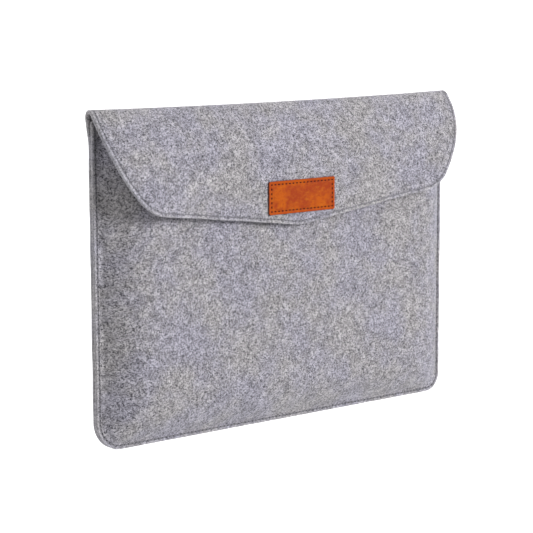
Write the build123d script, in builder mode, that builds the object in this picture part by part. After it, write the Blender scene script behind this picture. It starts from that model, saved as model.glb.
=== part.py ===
from build123d import *
import os
from math import atan2, cos, radians, sin, tan

os.makedirs("parts", exist_ok=True)

# Laptop sleeve of thick wool felt, standing on its bottom edge with the flap closed.
# X runs along the width, -Y faces forward and +Z is up. The origin lies at table level,
# under the middle of the sleeve's depth. All sizes are in millimetres and degrees.

# --- Felt and pocket ---------------------------------------------------------------
FELT = 3.0                 # thickness of the wool felt
WIDTH = 350.0              # stuffed pocket, edge to edge
CORNER_RADIUS = 25.0       # two bottom corners of the pocket
BACK_HEIGHT = 249.5        # top of the back panel, where the fold starts
FOLD_WIDTH = 354.0         # the felt is a little wider where no seam draws it in
FLARE_HEIGHT = 238.0       # the back panel starts to widen here
MOUTH_SIDE_HEIGHT = 249.0  # front panel's top edge at the side seams
MOUTH_DIP = 8.0            # how far that edge drops in the middle, where the panel bulges
FRONT_DEPTH = 23.4         # front panel's outer face ahead of the seam

# --- Fold and flap -----------------------------------------------------------------
FOLD_RADIUS = 6.0          # middle of the felt, round the fold
FOLD_TURN = 142.0          # from straight up, over, to forward and down
FLAP_CURVE_RADIUS = 90.0   # the flap springs away from the fold, then hangs straight
FLAP_SIDE_BEND = (178.3, 224.0, 90.0)   # half width, height and rounding of each side
FLAP_CORNER = (148.5, 180.0, 32.0)      # half width, height and rounding of lower corners
FLAP_TIP = (160.4, 40.0)                # height and rounding of the shallow point

# --- Seam, stitches and closure ----------------------------------------------------
SEAM_MARGIN = 5.0          # flat border of the pocket outside its bulge
BULGE_RUN = 40.0           # the bulge reaches its full depth this far in from the border
BULGE_SECTIONS = 7
PANEL_SET_BACK = 3.5       # front panel's face behind the middle of the flap, near the mouth
SPACE_ARC = 58.0           # enough of the flap's curve to pass the mouth
SEAM_ROW = 3.6             # seam stitches, in from the edge
SEAM_TOP = 247.5           # the seam ends just under the mouth
FLAP_ROW = 3.8             # flap stitches, in from the edge
THREAD = 0.8               # width of a row of thread
THREAD_HEIGHT = 0.3        # how far thread stands out of the surface, or sinks into it
SKIN_GAP = 0.02            # thread lies this far off what it is sewn through
PATCH = (66.0, 26.0, 1.5)  # leather patch: width, height, thickness
PATCH_HEIGHT = 183.5       # middle of the patch above the table
PATCH_ROUNDING = 1.2
PATCH_ROW = 2.6            # patch stitches, in from its edge
PATCH_STITCHES = (17, 6)   # along the width and up each side
PATCH_STITCH = 2.5         # length of one stitch
TAPE = (65.0, 25.0)        # both halves of the touch fastener
HOOK_THICKNESS = 1.6
LOOP_THICKNESS = 1.4
TAPE_ROW = 2.0             # loop tape stitches, in from its edge

# --- Derived places ----------------------------------------------------------------
# Depths are measured forward from the seam, the plane where front and back felt meet.
fold_centre = (FOLD_RADIUS - FELT / 2, BACK_HEIGHT)
fold_end_angle = 180 - FOLD_TURN
reach = FLAP_CURVE_RADIUS - FOLD_RADIUS
flap_centre = (
    fold_centre[0] - reach * cos(radians(fold_end_angle)),
    fold_centre[1] - reach * sin(radians(fold_end_angle)),
)
flap_middle = flap_centre[0] + FLAP_CURVE_RADIUS
flap_front = flap_middle + FELT / 2
flap_inside = flap_middle - FELT / 2
patch_front = flap_front + PATCH[2]
foremost = patch_front + SKIN_GAP + THREAD_HEIGHT
SEAM_Y = (foremost - FELT) / 2
ABOVE = 300.0              # a height well clear of the fold
BELOW_TIP = 5.0            # the flap's line runs on past its tip, which the outline then cuts

seam_plane = Plane.XZ.offset(-SEAM_Y)
back_plane = seam_plane.offset(-FELT)
side_plane = Plane(origin=(0, SEAM_Y, 0), x_dir=(0, -1, 0), z_dir=(-1, 0, 0))


def seam_row(plane, width):
    """The seam's row of thread: down one side, along the bottom and up the other side."""
    side = WIDTH / 2 - SEAM_ROW
    with BuildSketch(plane) as row:
        with BuildLine():
            FilletPolyline(
                (-side, SEAM_TOP),
                (-side, SEAM_ROW),
                (side, SEAM_ROW),
                (side, SEAM_TOP),
                radius=CORNER_RADIUS - SEAM_ROW,
            )
        trace(line_width=width)
    return row.sketch


# --- Back panel: flat felt with two rounded bottom corners -------------------------
# The seam pulls its thread into a groove in the back face, so that face stays flat.
with BuildPart() as back_panel:
    with BuildSketch(back_plane):
        with BuildLine():
            Polyline(
                (-WIDTH / 2, 0),
                (WIDTH / 2, 0),
                (WIDTH / 2, FLARE_HEIGHT),
                (FOLD_WIDTH / 2, BACK_HEIGHT),
                (-FOLD_WIDTH / 2, BACK_HEIGHT),
                (-WIDTH / 2, FLARE_HEIGHT),
                close=True,
            )
        back_face = make_face()
        fillet(back_face.vertices().group_by(Axis.Y)[0], radius=CORNER_RADIUS)
    extrude(amount=FELT)
    extrude(seam_row(back_plane, THREAD), amount=THREAD_HEIGHT, mode=Mode.SUBTRACT)


# --- Fold: the same felt, bent forward over the mouth ------------------------------
with BuildPart() as fold:
    with BuildSketch(side_plane):
        with BuildLine():
            CenterArc(fold_centre, FOLD_RADIUS, 180, -FOLD_TURN)
        trace(line_width=FELT)
    extrude(amount=FOLD_WIDTH / 2, both=True)


# --- Flap: sprung forward by the fold, cut to a shallow point ----------------------
with BuildSketch(seam_plane) as flap_outline:
    with BuildLine():
        Polyline(
            (-FLAP_SIDE_BEND[0], ABOVE),
            (-FLAP_SIDE_BEND[0], FLAP_SIDE_BEND[1]),
            (-FLAP_CORNER[0], FLAP_CORNER[1]),
            (0, FLAP_TIP[0]),
            (FLAP_CORNER[0], FLAP_CORNER[1]),
            (FLAP_SIDE_BEND[0], FLAP_SIDE_BEND[1]),
            (FLAP_SIDE_BEND[0], ABOVE),
            close=True,
        )
    make_face()
    fillet(flap_outline.vertices().group_by(Axis.Y)[2], radius=FLAP_SIDE_BEND[2])
    fillet(flap_outline.vertices().group_by(Axis.Y)[1], radius=FLAP_CORNER[2])
    fillet(flap_outline.vertices().group_by(Axis.Y)[0], radius=FLAP_TIP[1])


def hanging_line(distance):
    """Side view of the flap as a line, that far outside the middle of its felt."""
    radius = FLAP_CURVE_RADIUS + distance
    CenterArc(flap_centre, radius, fold_end_angle, -fold_end_angle)
    front = flap_centre[0] + radius
    Line((front, flap_centre[1]), (front, FLAP_TIP[0] - BELOW_TIP))


with BuildPart() as flap:
    with BuildSketch(side_plane):
        with BuildLine():
            hanging_line(0)
        trace(line_width=FELT)
    extrude(amount=WIDTH, both=True)
    extrude(flap_outline.sketch, amount=2 * FRONT_DEPTH, mode=Mode.INTERSECT)


# --- Front panel: a flat border and a soft bulge, open at the top ------------------
# The bulge is a loft of rounded rectangles. It rises steeply out of the border and levels
# out smoothly where it reaches its full depth.
BULGE_RISE = FRONT_DEPTH - FELT
hollow_inset = FELT * tan(atan2(BULGE_RISE, BULGE_RUN) / 2)


def bulge_sections(start, inset):
    """Sections of the bulge, the first of them that far ahead of the seam."""
    sections = []
    for step in range(BULGE_SECTIONS):
        inwards = step / (BULGE_SECTIONS - 1)
        ahead = BULGE_RISE * inwards * (2 - inwards)
        border = SEAM_MARGIN + inset + BULGE_RUN * inwards
        with BuildSketch(seam_plane.offset(start + ahead)) as section:
            with Locations((0, ABOVE / 2)):
                RectangleRounded(WIDTH - 2 * border, ABOVE - 2 * border, CORNER_RADIUS - SEAM_MARGIN)
        sections.append(section.sketch)
    return sections


def space_behind_flap(distance):
    """Side view of the space behind the flap, that far inside the middle of its felt."""
    radius = FLAP_CURVE_RADIUS - distance
    front = flap_centre[0] + radius
    with BuildSketch(side_plane) as space:
        with BuildLine():
            CenterArc(flap_centre, radius, 0, SPACE_ARC)
            Polyline(
                (front, flap_centre[1]),
                (front, -FELT),
                (-FELT, -FELT),
                (-FELT, flap_centre[1] + radius * sin(radians(SPACE_ARC))),
                (
                    flap_centre[0] + radius * cos(radians(SPACE_ARC)),
                    flap_centre[1] + radius * sin(radians(SPACE_ARC)),
                ),
            )
        make_face()
    return space.sketch


with BuildPart() as hollow:
    loft(bulge_sections(0, hollow_inset))
    extrude(space_behind_flap(PANEL_SET_BACK + FELT), amount=WIDTH, both=True, mode=Mode.INTERSECT)

with BuildPart() as front_panel:
    loft(bulge_sections(FELT, 0))
    extrude(space_behind_flap(PANEL_SET_BACK), amount=WIDTH, both=True, mode=Mode.INTERSECT)
    with BuildSketch(seam_plane):
        with Locations((0, ABOVE / 2)):
            RectangleRounded(WIDTH, ABOVE, CORNER_RADIUS)
    extrude(amount=FELT)
    add(hollow.part, mode=Mode.SUBTRACT)
    with BuildSketch(seam_plane):
        with BuildLine():
            ThreePointArc(
                (-WIDTH / 2, MOUTH_SIDE_HEIGHT),
                (0, MOUTH_SIDE_HEIGHT - MOUTH_DIP),
                (WIDTH / 2, MOUTH_SIDE_HEIGHT),
            )
            Polyline(
                (WIDTH / 2, MOUTH_SIDE_HEIGHT),
                (WIDTH / 2, 0),
                (-WIDTH / 2, 0),
                (-WIDTH / 2, MOUTH_SIDE_HEIGHT),
            )
        panel_face = make_face()
        fillet(panel_face.vertices().group_by(Axis.Y)[0], radius=CORNER_RADIUS)
    extrude(amount=2 * FRONT_DEPTH, mode=Mode.INTERSECT)


# --- Leather patch, flat on the straight part of the flap --------------------------
with BuildPart() as leather_patch:
    with BuildSketch(seam_plane.offset(flap_front)):
        with Locations((0, PATCH_HEIGHT)):
            RectangleRounded(PATCH[0], PATCH[1], PATCH_ROUNDING)
    extrude(amount=PATCH[2])


# --- Patch thread: separate stitches round the patch -------------------------------
row_width = PATCH[0] - 2 * PATCH_ROW
row_height = PATCH[1] - 2 * PATCH_ROW
across, upright = PATCH_STITCHES
with BuildPart() as patch_thread:
    with BuildSketch(seam_plane.offset(patch_front + SKIN_GAP)):
        with Locations((0, PATCH_HEIGHT)):
            with GridLocations(row_width / across, row_height, across, 2):
                SlotOverall(PATCH_STITCH, THREAD)
            with GridLocations(row_width, row_height / upright, 2, upright):
                SlotOverall(PATCH_STITCH, THREAD, rotation=90)
    extrude(amount=THREAD_HEIGHT)


# --- Seam thread: on the front felt, and in the back felt's groove -----------------
with BuildPart() as seam_thread_front:
    extrude(seam_row(seam_plane.offset(FELT + SKIN_GAP), THREAD), amount=THREAD_HEIGHT)

with BuildPart() as seam_thread_back:
    extrude(seam_row(back_plane, THREAD - 2 * SKIN_GAP), amount=THREAD_HEIGHT - SKIN_GAP)


# --- Flap thread: a row inside the cut edge, outside and inside the flap -----------
with BuildSketch(seam_plane) as flap_row:
    offset(flap_outline.sketch_local, amount=-(FLAP_ROW - THREAD / 2), mode=Mode.ADD)
    offset(flap_outline.sketch_local, amount=-(FLAP_ROW + THREAD / 2), mode=Mode.SUBTRACT)

thread_off_middle = FELT / 2 + SKIN_GAP + THREAD_HEIGHT / 2

with BuildPart() as flap_thread_front:
    with BuildSketch(side_plane):
        with BuildLine():
            hanging_line(thread_off_middle)
        trace(line_width=THREAD_HEIGHT)
    extrude(amount=WIDTH, both=True)
    extrude(flap_row.sketch, amount=2 * FRONT_DEPTH, mode=Mode.INTERSECT)

with BuildPart() as flap_thread_back:
    with BuildSketch(side_plane):
        with BuildLine():
            hanging_line(-thread_off_middle)
        trace(line_width=THREAD_HEIGHT)
    extrude(amount=WIDTH, both=True)
    extrude(flap_row.sketch, amount=2 * FRONT_DEPTH, mode=Mode.INTERSECT)


# --- Touch fastener: hook tape in the flap, loop tape on the pocket ----------------
with BuildPart() as hook_tape:
    with BuildSketch(seam_plane.offset(flap_inside - HOOK_THICKNESS)):
        with Locations((0, PATCH_HEIGHT)):
            RectangleRounded(*TAPE, PATCH_ROUNDING)
    extrude(amount=HOOK_THICKNESS)


def tape_row(width):
    """A rectangular ring of that width, inside the edge of the tape."""
    length, height = TAPE[0] - 2 * TAPE_ROW, TAPE[1] - 2 * TAPE_ROW
    with BuildSketch(seam_plane.offset(FRONT_DEPTH + LOOP_THICKNESS)) as ring:
        with Locations((0, PATCH_HEIGHT)):
            Rectangle(length + width, height + width)
            Rectangle(length - width, height - width, mode=Mode.SUBTRACT)
    return ring.sketch


with BuildPart() as loop_tape:
    with BuildSketch(seam_plane.offset(FRONT_DEPTH)):
        with Locations((0, PATCH_HEIGHT)):
            RectangleRounded(*TAPE, PATCH_ROUNDING)
    extrude(amount=LOOP_THICKNESS)
    extrude(tape_row(THREAD), amount=-THREAD_HEIGHT, mode=Mode.SUBTRACT)

with BuildPart() as loop_tape_thread:
    extrude(tape_row(THREAD - 2 * SKIN_GAP), amount=SKIN_GAP - THREAD_HEIGHT)


pieces = {
    "back_panel": back_panel,
    "fold": fold,
    "flap": flap,
    "front_panel": front_panel,
    "leather_patch": leather_patch,
    "patch_thread": patch_thread,
    "seam_thread_front": seam_thread_front,
    "seam_thread_back": seam_thread_back,
    "flap_thread_front": flap_thread_front,
    "flap_thread_back": flap_thread_back,
    "hook_tape": hook_tape,
    "loop_tape": loop_tape,
    "loop_tape_thread": loop_tape_thread,
}
for name, piece in pieces.items():
    piece.part.label = name
    export_step(piece.part, f"parts/{name}.step")
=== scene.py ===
import math

import bmesh
import bpy
import numpy as np
from mathutils import Matrix, Vector
from mathutils.geometry import delaunay_2d_cdt


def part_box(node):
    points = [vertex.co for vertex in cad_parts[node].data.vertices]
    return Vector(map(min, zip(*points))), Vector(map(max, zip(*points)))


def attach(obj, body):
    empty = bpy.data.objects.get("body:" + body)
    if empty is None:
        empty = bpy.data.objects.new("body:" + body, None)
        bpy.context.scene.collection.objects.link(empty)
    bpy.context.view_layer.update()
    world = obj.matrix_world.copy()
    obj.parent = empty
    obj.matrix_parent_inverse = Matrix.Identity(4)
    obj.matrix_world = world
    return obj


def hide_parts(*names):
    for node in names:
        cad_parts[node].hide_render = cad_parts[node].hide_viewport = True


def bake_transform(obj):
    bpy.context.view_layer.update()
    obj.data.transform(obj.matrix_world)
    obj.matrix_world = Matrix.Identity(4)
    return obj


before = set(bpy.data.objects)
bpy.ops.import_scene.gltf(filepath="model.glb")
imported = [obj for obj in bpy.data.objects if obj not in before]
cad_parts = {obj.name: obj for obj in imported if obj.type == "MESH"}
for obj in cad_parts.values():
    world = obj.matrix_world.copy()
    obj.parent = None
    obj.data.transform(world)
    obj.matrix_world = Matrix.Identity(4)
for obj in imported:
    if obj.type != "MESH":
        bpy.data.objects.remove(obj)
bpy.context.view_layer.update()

# Laptop sleeve of grey wool felt, stuffed and standing with its flap closed. X runs along
# the width, -Y faces forward and +Z is up. Sizes are in millimetres, and are turned to
# metres when a mesh is written. A depth is measured forward from the seam, the plane where
# the back felt meets the front felt.

MM = 0.001
MM_PER_M = 1000.0


def box_mm(node):
    """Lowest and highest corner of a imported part."""
    return [np.array(corner) * MM_PER_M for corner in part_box(node)]


# --- Places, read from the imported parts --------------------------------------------
back_low, back_high = box_mm("back_panel")
_, fold_high = box_mm("fold")
flap_low, flap_high = box_mm("flap")
front_low, front_high = box_mm("front_panel")
patch_low, patch_high = box_mm("leather_patch")
hook_low, hook_high = box_mm("hook_tape")
loop_low, loop_high = box_mm("loop_tape")

SEAM_Y = back_low[1]
FELT = back_high[1] - back_low[1]
BACK_TOP = back_high[2]
POCKET_HALF = front_high[0]
FOLD_HALF = fold_high[0]
FLAP_HALF = flap_high[0]
MOUTH_SIDE = front_high[2]
FRONT_DEPTH = SEAM_Y - front_low[1]
FLAP_FRONT = SEAM_Y - flap_low[1]
FLAP_MIDDLE = FLAP_FRONT - FELT / 2

# --- Cut and shape of the felt -----------------------------------------------------
CORNER_RADIUS = 22.0        # left bottom corner of the pocket, seen from the front
RIGHT_CORNER = 15.0         # the right one is cut tighter
RIGHT_TRIM = 2.0            # and the flap reaches less far out on the right
WIDENING = (232.0, 258.0, 40.0)        # the felt widens from the first place up to the second; rounding
MOUTH_DIP = 8.0             # the front felt's top edge drops this much in the middle
MOUTH_ROUNDING = 300.0
MOUTH_END = 2.0             # rounding at the mouth's two ends
CUT_WOBBLE = 0.12           # unevenness of a cut felt edge
FLAP_CURVE = 90.0           # the flap springs away from the fold on this radius
SIDE_BEND = (FLAP_HALF, 224.0, 100.0)  # half width, height and rounding of each flap side
FLAP_CORNER = (148.5, 180.0, 32.0)     # half width, height and rounding of lower corners
FLAP_TIP = (160.4, 40.0)               # height and rounding of the shallow point
SEAM_MARGIN = 5.0           # flat border of the front felt
BULGE_RUN = 40.0            # the bulge reaches its full depth this far in from the border
BULGE_CORNER = CORNER_RADIUS - SEAM_MARGIN
BULGE_SHAPE = 2.15          # over 2, the bulge rises more steeply at its border
PANEL_SET_BACK = 3.5        # front felt's face behind the middle of the flap, near the mouth
SHOULDER = 5.0              # softness where the bulge meets the space under the flap
WAVE_ROOM = 6.0             # the front felt has its full waves where the flap leaves this much room

FOLD_RADIUS = fold_high[2] - BACK_TOP - FELT / 2
fold_depth = FOLD_RADIUS - FELT / 2
reach = FLAP_CURVE - FOLD_RADIUS
flap_depth = FLAP_MIDDLE - FLAP_CURVE
FLAP_TURN = math.acos((fold_depth - flap_depth) / reach)
FOLD_TURN = math.pi - FLAP_TURN
flap_height = BACK_TOP - reach * math.sin(FLAP_TURN)
FOLD_END = BACK_TOP + FOLD_RADIUS * FOLD_TURN
HANG_START = FOLD_END + FLAP_CURVE * FLAP_TURN
FOLD_MIDDLE = (BACK_TOP + FOLD_END) / 2


# --- Camera ------------------------------------------------------------------------
def aim_camera():
    """A long lens, turned to the sleeve's left and a little above it, almost level. It looks at
    the sleeve's middle from a metre and a half, moved a little to the left and down."""
    turn, rise, roll = (math.radians(angle) for angle in (-38.32, 8.91, -0.19))
    distance, middle = 1490.0, Vector((0.0, SEAM_Y, 125.0))
    aside, above = -8.8, -1.1
    back = Vector((math.sin(turn) * math.cos(rise), -math.cos(turn) * math.cos(rise), math.sin(rise)))
    level = Vector((math.cos(turn), math.sin(turn), 0.0))
    upright = back.cross(level)
    right = math.cos(roll) * level + math.sin(roll) * upright
    up = math.cos(roll) * upright - math.sin(roll) * level
    place = middle + right * aside + up * above + back * distance
    data = bpy.data.cameras.new("camera")
    data.sensor_width = 36.0
    data.lens = 126.4
    data.clip_end = 100.0
    camera = bpy.data.objects.new("camera", data)
    bpy.context.scene.collection.objects.link(camera)
    camera.matrix_world = Matrix.Translation(place * MM) @ Matrix((right, up, back)).transposed().to_4x4()
    bpy.context.scene.camera = camera


aim_camera()


# --- Side line of the main felt ----------------------------------------------------
def side_line(along):
    """Depth and height of the felt's middle, up the back, over the fold and down the flap."""
    fold = (along - BACK_TOP) / FOLD_RADIUS
    curve = FLAP_TURN - (along - FOLD_END) / FLAP_CURVE
    stretch = [along < BACK_TOP, along < FOLD_END, along < HANG_START]
    depth = np.select(
        stretch,
        [
            np.full_like(along, -FELT / 2),
            fold_depth - FOLD_RADIUS * np.cos(fold),
            flap_depth + FLAP_CURVE * np.cos(curve),
        ],
        FLAP_MIDDLE,
    )
    height = np.select(
        stretch,
        [along, BACK_TOP + FOLD_RADIUS * np.sin(fold), flap_height + FLAP_CURVE * np.sin(curve)],
        flap_height - (along - HANG_START),
    )
    return depth, height


def along_flap(height):
    """Place along the felt of that height on the flap."""
    if height < flap_height:
        return HANG_START + flap_height - height
    return FOLD_END + (FLAP_TURN - math.asin((height - flap_height) / FLAP_CURVE)) * FLAP_CURVE


def soft_waves(across, upward, longest, count, seed):
    """Gentle random waves from -1 to 1, for felt that isn't quite flat."""
    draw = np.random.default_rng(seed)
    total = np.zeros_like(across)
    for _ in range(count):
        angle, phase = draw.uniform(0, math.pi), draw.uniform(0, 2 * math.pi)
        length = longest * draw.uniform(0.45, 1.0)
        total += np.sin(2 * math.pi * (across * math.cos(angle) + upward * math.sin(angle)) / length + phase)
    return total / count


def ease(value):
    """Smooth step from 0 to 1."""
    value = np.clip(value, 0, 1)
    return value * value * (3 - 2 * value)


def hump(distance, reach):
    """1 at no distance, fading softly to nothing past the reach."""
    return np.exp(-((distance / reach) ** 2))


def beyond(across, height, low, high):
    """How far a place lies outside a part that is centred on the sleeve's width."""
    middle, half = (low[2] + high[2]) / 2, (high[2] - low[2]) / 2
    return np.maximum(np.abs(across) - high[0], np.abs(height - middle) - half)


FOLD_SAG = 1.5              # the fold hangs lower in the middle, where nothing holds it up
SAG_REACH = 42.0
CORNER_FLARE = 3.2          # lower corners of the flap stand forward, the left one more
FLARE_REACH = 26.0
LEFT_LIFT = 4.5
LEFT_REACH = 46.0
FOLD_PINCH = 1.6            # the fold closes a little at its two ends
PINCH_REACH = 30.0
FELT_WAVE = 0.7             # unevenness of large felt areas
FLAP_WAVES = (150.0, 7, 3)  # the longest wave, how many there are and their seed
FRONT_WAVES = (120.0, 7, 5)
QUIET = 12.0                # felt lies flat this far round the patch and the tapes
FLAP_SETTLE = 30.0          # the flap takes this far past the fold to move freely


def main_surface(flat):
    """Middle of the main felt in space, for points (across, along) of its flat cut."""
    across, along = flat[:, 0], flat[:, 1]
    depth, height = side_line(along)
    sag = FOLD_SAG * (1 - (across / FOLD_HALF) ** 2) * hump(along - FOLD_MIDDLE, SAG_REACH)
    off_corner = along - along_flap(FLAP_CORNER[1])
    flare = CORNER_FLARE * hump(np.hypot(np.abs(across) - FLAP_CORNER[0], off_corner), FLARE_REACH)
    flare += LEFT_LIFT * hump(np.hypot(across + FLAP_CORNER[0], off_corner), LEFT_REACH)
    pinch = FOLD_PINCH * hump(FOLD_HALF - np.abs(across), PINCH_REACH)
    pinch *= ease((along - BACK_TOP) / (FOLD_END - BACK_TOP))
    pinch *= hump(np.maximum(along - FOLD_END, 0), PINCH_REACH)
    free = ease((along - FOLD_END) / FLAP_SETTLE)
    quiet = ease(beyond(across, height, patch_low, patch_high) / QUIET)
    wave = FELT_WAVE * soft_waves(across, along, *FLAP_WAVES) * free * quiet
    return np.stack([across, SEAM_Y - depth - flare * free - wave + pinch, height - sag], axis=1)


def border_distance(across, height):
    """How far in from the front felt's sides and bottom a point lies, round the corners of its bulge."""
    side, low = POCKET_HALF - np.abs(across), height
    round_corner = ((side + low) - 2 * BULGE_CORNER
                    + np.sqrt(np.maximum(2 * BULGE_CORNER**2 - (side - low) ** 2, 0))) / 2
    return np.where(np.abs(side - low) < BULGE_CORNER, round_corner, np.minimum(side, low))


def front_surface(flat):
    """Middle of the front felt in space: a flat border, a bulge, and a hollow under the flap."""
    across, height = flat[:, 0], flat[:, 1]
    risen = np.clip((border_distance(across, height) - SEAM_MARGIN) / BULGE_RUN, 0, 1)
    full = FRONT_DEPTH - FELT / 2
    rise = FELT / 2 + (full - FELT / 2) * (1 - (1 - risen) ** BULGE_SHAPE)
    radius = FLAP_CURVE - PANEL_SET_BACK - FELT / 2
    under = flap_depth + np.sqrt(np.maximum(radius**2 - np.maximum(height - flap_height, 0) ** 2, 1))
    blend = np.clip(0.5 + (under - rise) / (2 * SHOULDER), 0, 1)
    depth = under * (1 - blend) + rise * blend - SHOULDER * blend * (1 - blend)
    depth = np.maximum(depth, FELT / 2)
    quiet = ease(beyond(across, height, loop_low, loop_high) / QUIET)
    wave = FELT_WAVE * soft_waves(across, height, *FRONT_WAVES) * risen * quiet
    return np.stack([across, SEAM_Y - depth - wave * ease((under - depth) / WAVE_ROOM), height], axis=1)


# --- Flat cuts ---------------------------------------------------------------------
EDGE_STEP = 1.75            # spacing of points along a cut edge
ROW_FROM_EDGE = 2.8         # every row of stitches runs this far in from the cut edge


def cut_line(corners, step):
    """Points along a closed line, anticlockwise; each corner is (across, along, rounding)."""
    points = np.array([corner[:2] for corner in corners], float)
    runs = []
    for index, (_, _, radius) in enumerate(corners):
        here, before, after = points[index], points[index - 1], points[(index + 1) % len(points)]
        to_before = (before - here) / np.linalg.norm(before - here)
        to_after = (after - here) / np.linalg.norm(after - here)
        turn = math.pi - math.acos(np.clip(to_before @ to_after, -1, 1))
        tangent = radius * math.tan(turn / 2)
        centre = here + (to_before + to_after) / np.linalg.norm(to_before + to_after) * (
            radius / math.cos(turn / 2)
        )
        count = max(1, round(radius * turn / step))
        start, end = here + to_before * tangent - centre, here + to_after * tangent - centre
        first = math.atan2(start[1], start[0])
        sweep = (math.atan2(end[1], end[0]) - first + math.pi) % (2 * math.pi) - math.pi
        angles = first + sweep * np.linspace(0, 1, count + 1)
        runs.append(centre + radius * np.stack([np.cos(angles), np.sin(angles)], axis=1))
    line = []
    for index, arc in enumerate(runs):
        line.extend(arc)
        gap = runs[(index + 1) % len(runs)][0] - arc[-1]
        pieces = max(1, round(np.linalg.norm(gap) / step))
        line.extend(arc[-1] + gap * share for share in np.arange(1, pieces) / pieces)
    return np.array(line)


def ring(line):
    """The line with its first point once more at its end."""
    return np.vstack([line, line[:1]])


def inward(line, is_ring=True):
    """Unit vectors pointing into an anticlockwise line."""
    if is_ring:
        run = np.roll(line, -1, axis=0) - np.roll(line, 1, axis=0)
    else:
        run = np.gradient(line, axis=0)
    run /= np.linalg.norm(run, axis=1)[:, None]
    return np.stack([-run[:, 1], run[:, 0]], axis=1)


def lengths(line):
    """Distance of each point of a line from its first point, along it."""
    return np.concatenate([[0], np.cumsum(np.linalg.norm(np.diff(line, axis=0), axis=1))])


def nearest(points, line, values=None, batch=2000):
    """Distance from each point to an open line, and the line's value at the nearest place. The
    points go through in batches, which keeps the tables small."""
    values = np.zeros(len(line)) if values is None else values
    start, run = line[:-1], np.diff(line, axis=0)
    size = (run**2).sum(1)
    distance, value = np.empty(len(points)), np.empty(len(points))
    for first in range(0, len(points), batch):
        some = slice(first, first + batch)
        offset = points[some][:, None] - start[None]
        share = np.clip((offset * run).sum(2) / size, 0, 1)
        away = np.linalg.norm(offset - share[:, :, None] * run, axis=2)
        best = away.argmin(1)
        row = np.arange(len(best))
        distance[some] = away[row, best]
        value[some] = values[best] + share[row, best] * (values[best + 1] - values[best])
    return distance, value


# --- Meshes ------------------------------------------------------------------------
RIM = 0.6                   # rounding of a cut felt edge
RINGS = (0.18, 0.6, 1.3, 1.9, 2.2, 2.5, 2.8, 3.1, 3.4, 3.9, 5.0, 7.5, 11.0)
FELT_GRID = 4.0             # spacing of points away from the edges
GROOVE = 0.8                # stitches pull the felt in this deep
FLAP_GROOVE = 0.45          # and less where there is only one layer
GROOVE_WIDTH = 0.6
RING_SLACK = 0.03           # a ring's point may lie this much nearer the edge than the ring does
POINT_GAP = 0.25            # points stay this far from the extra ones


def layout(line, rings, grid, extra=()):
    """Points and triangles that fill a flat cut: rings along its edge and a grid inside."""
    edge = ring(line)
    points = [line]
    for inset in rings:
        moved = line + inward(line) * inset
        points.append(moved[nearest(moved, edge)[0] > inset - RING_SLACK])
    low, high = line.min(0), line.max(0)
    across = np.arange(low[0] + grid / 2, high[0], grid)
    along = np.arange(low[1] + grid / 2, high[1], grid)
    inside = np.stack(np.meshgrid(across, along), axis=-1).reshape(-1, 2)
    ahead = np.roll(line, -1, axis=0)
    above = (line[None, :, 1] > inside[:, None, 1]) != (ahead[None, :, 1] > inside[:, None, 1])
    slope = (ahead - line)[None]
    rise = np.where(slope[:, :, 1] == 0, 1, slope[:, :, 1])
    crossing = slope[:, :, 0] * (inside[:, None, 1] - line[None, :, 1]) / rise + line[None, :, 0]
    within = (above & (inside[:, None, 0] < crossing)).sum(1) % 2 == 1
    inside = inside[within]
    points.append(inside[nearest(inside, edge)[0] > rings[-1] + grid / 2])
    if len(extra):
        kept = np.vstack(points[1:])
        apart = np.array([np.linalg.norm(extra - point, axis=1).min() for point in kept])
        points = [line, kept[apart > POINT_GAP], extra]
    points = np.vstack(points)
    edges = [(index, (index + 1) % len(line)) for index in range(len(line))]
    keep_inside, nearness = 1, 1e-5
    found = delaunay_2d_cdt([Vector(point) for point in points], edges, [], keep_inside, nearness)
    flat = np.array([tuple(point) for point in found[0]])
    places = {source: index for index, sources in enumerate(found[3]) for source in sources}
    return flat, [tuple(face) for face in found[2]], [places[index] for index in range(len(line))]


def new_mesh(name, points, faces):
    """A smooth-shaded mesh from points in millimetres."""
    mesh = bpy.data.meshes.new(name)
    mesh.from_pydata((np.asarray(points) * MM).tolist(), [], faces)
    mesh.polygons.foreach_set("use_smooth", np.ones(len(mesh.polygons), bool))
    mesh.update()
    return mesh


def new_piece(name, mesh, *materials):
    """An object at the origin that shows the mesh."""
    piece = bpy.data.objects.new(name, mesh)
    bpy.context.scene.collection.objects.link(piece)
    for material in materials:
        mesh.materials.append(material)
    return piece


def set_points(mesh, name, values):
    """Stores a value at each point of a mesh, for its material or for Geometry Nodes."""
    kind = "FLOAT_VECTOR" if values.ndim == 2 else "FLOAT"
    made = mesh.attributes.new(name, kind, "POINT")
    made.data.foreach_set("vector" if values.ndim == 2 else "value", values.astype(np.float32).ravel())


def surface_frame(surface, flat, step=0.05):
    """Points of a surface and its outward unit normals, by small steps over its flat cut.
    The cut of the main felt runs up its back, and that of every other sheet up its front."""
    middle = surface(flat)
    across = surface(flat + (step, 0)) - surface(flat - (step, 0))
    along = surface(flat + (0, step)) - surface(flat - (0, step))
    normal = np.cross(along, across) if surface is main_surface else np.cross(across, along)
    return middle, normal / np.linalg.norm(normal, axis=1)[:, None]


def rounded_half(edge, thickness, rim):
    """Half the thickness that far from the cut edge, with the edge rounded over."""
    near = np.clip(1 - edge / rim, 0, 1)
    return thickness / 2 - rim * (1 - np.sqrt(1 - near**2))


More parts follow.
